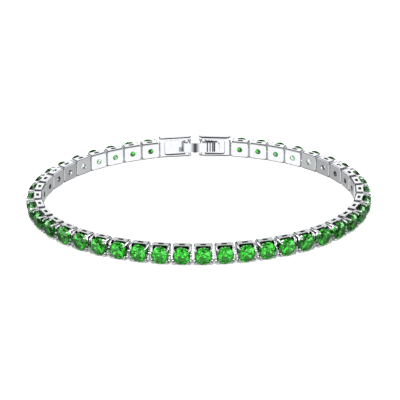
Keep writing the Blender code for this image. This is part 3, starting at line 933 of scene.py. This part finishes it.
studio = {
    "floor": "#F6F6F6",
    "floorSize": 8.0,            # metres
    "floorDrop": 0.00003,        # metres under the bracelet
    "floorRoughness": 0.9,
    "floorGloss": 0.1,
    "fibresPerMetre": 900.0,
    "fibreDepth": 0.0001,        # metres
    "fibreStrength": 0.05,
    "wallHeight": 6.0,           # metres
    "wallShare": 1 / 2.1,        # radius, of the floor's size
    "wallGlow": 1.1,
    "softboxSize": 1.6,          # metres
    "softboxHeight": 1.0,        # metres
    "softboxPower": 34.0,
    "panelStrength": 1.25,
    # Degrees above the horizon and brightness, towards the front, the sides and the back
    "frontPanels": ((-90, 0.04), (-50, 0.04), (-47, 1.0), (-17, 1.0), (-12, 0.3), (2, 0.2), (6, 3.0),
                    (18, 3.0), (21, 0.5), (46, 0.4), (50, 0.03), (76, 0.03), (80, 1.0), (90, 1.0)),
    "sidePanels": ((-90, 0.3), (-45, 0.45), (-25, 0.42), (-12, 0.35), (-2, 0.5), (5, 4.2), (25, 4.2),
                   (31, 0.8), (48, 0.6), (52, 0.05), (76, 0.05), (80, 1.0), (90, 1.0)),
    "backPanels": ((-90, 0.3), (-45, 0.45), (-17, 0.4), (-11, 0.06), (11, 0.04), (16, 1.0), (25.5, 1.0),
                   (26.8, 0.4), (29, 0.06), (33, 0.06), (37, 0.8), (50, 0.8), (54, 0.04), (76, 0.04),
                   (80, 1.0), (90, 1.0)),
    # Where the sides and the back fade in, as the direction's part along Y
    "sideZone": (-0.34, -0.12),
    "backZone": (0.60, 0.82),
}


def makeFloor():
    # Matt white paper with faint fibres. Reflections leave it out, and show the panels all round instead
    work = bmesh.new()
    bmesh.ops.create_grid(work, x_segments=1, y_segments=1, size=studio["floorSize"] / 2)
    floor = fromBmesh("floor", work)
    floor.location.z = -studio["floorDrop"]
    material, tree = newMaterial("paperFloor")
    place = addNode(tree, "ShaderNodeTexCoord").outputs["Object"]
    fibre = addNode(tree, "ShaderNodeTexNoise", values={"Scale": studio["fibresPerMetre"], "Detail": 4.0},
                    links={"Vector": place})
    bump = addNode(tree, "ShaderNodeBump",
                   values={"Strength": studio["fibreStrength"], "Distance": studio["fibreDepth"]},
                   links={"Height": fibre.outputs["Fac"]})
    shader = addNode(tree, "ShaderNodeBsdfPrincipled",
                     values={"Base Color": hexColour(studio["floor"]), "Roughness": studio["floorRoughness"],
                             "Specular IOR Level": studio["floorGloss"]},
                     links={"Normal": bump.outputs["Normal"]})
    addNode(tree, "ShaderNodeOutputMaterial", links={"Surface": shader.outputs["BSDF"]})
    floor.data.materials.append(material)
    floor.visible_glossy = False
    floor.visible_transmission = False


def makeBackdrop():
    # A plain white wall far round the floor, which only the camera sees
    radius = studio["floorSize"] * studio["wallShare"]
    work = bmesh.new()
    bmesh.ops.create_cone(work, segments=96, radius1=radius, radius2=radius, depth=studio["wallHeight"])
    wall = fromBmesh("backdrop", work)
    material, tree = newMaterial("whitePaperBackdrop")
    glow = addNode(tree, "ShaderNodeEmission",
                   values={"Color": hexColour(studio["floor"]), "Strength": studio["wallGlow"]})
    addNode(tree, "ShaderNodeOutputMaterial", links={"Surface": glow.outputs["Emission"]})
    wall.data.materials.append(material)
    for ray in ("diffuse", "glossy", "transmission", "shadow"):
        setattr(wall, "visible_" + ray, False)


def makePanels():
    # Bright and dark panels at fixed directions, which the metal and the stones reflect
    world = bpy.data.worlds.new("studio")
    world.use_nodes = True
    bpy.context.scene.world = world
    tree = world.node_tree
    tree.nodes.clear()
    direction = addNode(tree, "ShaderNodeTexCoord").outputs["Generated"]
    parts = addNode(tree, "ShaderNodeSeparateXYZ", links={"Vector": direction})
    height = addNode(tree, "ShaderNodeMapRange", values={"From Min": -1.0, "From Max": 1.0},
                     links={"Value": parts.outputs["Z"]})
    panels = []
    for stops in (studio["frontPanels"], studio["sidePanels"], studio["backPanels"]):
        ramp = addNode(tree, "ShaderNodeValToRGB", links={"Fac": height.outputs["Result"]})
        elements = ramp.color_ramp.elements
        elements.remove(elements[1])
        for number, (degrees, brightness) in enumerate(stops):
            position = (math.sin(math.radians(degrees)) + 1) / 2
            element = elements.new(position) if number else elements[0]
            element.position = position
            element.color = (brightness, brightness, brightness, 1.0)
        panels.append(ramp.outputs["Color"])
    colour = panels[0]
    for (low, high), panel in zip((studio["sideZone"], studio["backZone"]), panels[1:]):
        share = addNode(tree, "ShaderNodeMapRange", {"interpolation_type": "SMOOTHSTEP"},
                        values={"From Min": low, "From Max": high}, links={"Value": parts.outputs["Y"]})
        mixed = addNode(tree, "ShaderNodeMix", {"data_type": "RGBA"},
                        links={"Factor": share.outputs["Result"], 6: colour, 7: panel})
        colour = mixed.outputs[2]
    light = addNode(tree, "ShaderNodeBackground", values={"Strength": studio["panelStrength"]},
                    links={"Color": colour})
    addNode(tree, "ShaderNodeOutputWorld", links={"Surface": light.outputs["Background"]})


def makeSoftbox():
    # Overhead, for the floor's white and the soft shadow. Reflections don't show it
    data = bpy.data.lights.new("softbox", "AREA")
    data.size = studio["softboxSize"]
    data.energy = studio["softboxPower"]
    softbox = newObject("softbox", data)
    softbox.location.z = studio["softboxHeight"]
    softbox.visible_glossy = False
    softbox.visible_transmission = False


def makeStudio():
    makeFloor()
    makeBackdrop()
    makePanels()
    makeSoftbox()
    bpy.context.scene.view_settings.view_transform = "Standard"


def main():
    makeCamera()
    makeStudio()
    print("camera and studio made")
    layout = layOut()
    # The middle of the lever's painted dark band, between the trays
    bandShadeAt = (layout["left"].translation.x + layout["right"].translation.x) / 2 * metresPerMillimetre
    polishedSilver = makeSilver("rhodiumPlatedSilverBuffed", silver["polished"], silver["white"])
    # These carry painted shade and painted dark reflection: on round edges, in recesses, pockets and grooves,
    # and in a band across the lever's bridge
    shadedSilver = makeSilver("silverPaintedShade", silver["satin"], silver["pocketAndEdgeShade"])
    leverSilver = makeSilver("rhodiumPlatedSilverShadeBand", silver["polished"], silver["white"], bandShadeAt)
    edgeShadeSilver = makeSilver("rhodiumPlatedSilverPaintedEdgeShade", silver["polished"], silver["edge"])
    recessShadeSilver = makeSilver("silverPaintedRecessShade", silver["satin"], silver["recessShade"])
    cutStone = makeStone()
    tree = linkTree()

    basket = makeSetting()
    # Painted shade in the pockets, painted dark reflection on the round edges
    marks = [(shadedSilver, facesWhere(basket, isInside)), (edgeShadeSilver, facesWhere(basket, isRoundEdge))]
    settings = onEveryLink("settings", basket, polishedSilver, layout["links"], tree, others=marks)
    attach(settings, "band")
    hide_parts(*[name for name in frame["nodes"] if name.startswith("link_")])
    print("settings made:", len(settings.data.polygons), "faces")

    stones = onEveryLink("stones", makeBrilliant(), cutStone, layout["links"], tree, 2 * math.pi, 7)
    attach(stones, "band")
    print("stones made:", len(stones.data.polygons), "faces")

    trays = (("trayLeft", -1, "clasp_housing_left"), ("trayRight", 1, "clasp_housing_right"))
    for name, side, node in trays:
        place = layout["left"] if side < 0 else layout["right"]
        piece = makeTray(name, side)
        # Painted shade in the recesses, and along the long top and bottom edges
        marks = [(recessShadeSilver, facesWhere(piece, isRecessEdge)), (shadedSilver, facesWhere(piece, isOuterEdge))]
        finishPiece(piece, name, polishedSilver, place, marks)
        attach(piece, "band")
        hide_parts(node)
    leverPiece = makeLever(layout["pinSpacing"])
    # Painted shade in the grooves, painted dark reflection along the rim
    marks = [(recessShadeSilver, grooveFaces(leverPiece, layout["pinSpacing"])),
             (shadedSilver, rimFaces(leverPiece, layout["pinSpacing"]))]
    finishPiece(leverPiece, "foldOverLever", leverSilver, layout["lever"], marks)

    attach(leverPiece, "lever")
    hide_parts("clasp_lever")
    print("clasp made")

main()
